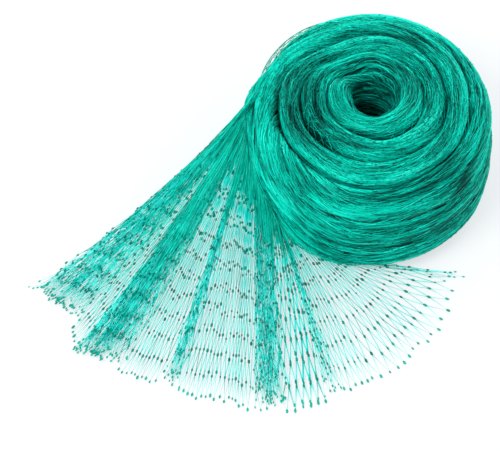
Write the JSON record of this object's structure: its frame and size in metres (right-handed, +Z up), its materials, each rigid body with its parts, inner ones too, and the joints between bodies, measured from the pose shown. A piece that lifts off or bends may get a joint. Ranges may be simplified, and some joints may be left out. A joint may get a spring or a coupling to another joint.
{
  "type": "bird netting roll",
  "caption": "Gathered knotted garden netting wound into a round roll that stands on its end, its outer end pulled out and fanned over the floor.",
  "frame": {"origin": "on the floor, under the middle of the bounding box of the roll and its fanned end", "axes": "+Z up along the roll's axis, +X from the fanned end's left tip to the roll, -Y towards the fan's free edge"},
  "size_m": [0.2891, 0.25, 0.0925],
  "materials": {
    "net_wound": "glossy fine nylon thread, densely bunched",
    "net_mesh": "glossy fine nylon thread, knotted open mesh"
  },
  "bodies": {
    "root": {"net_roll": "net_wound", "net_loose_end": "net_mesh"}
  },
  "joints": []
}
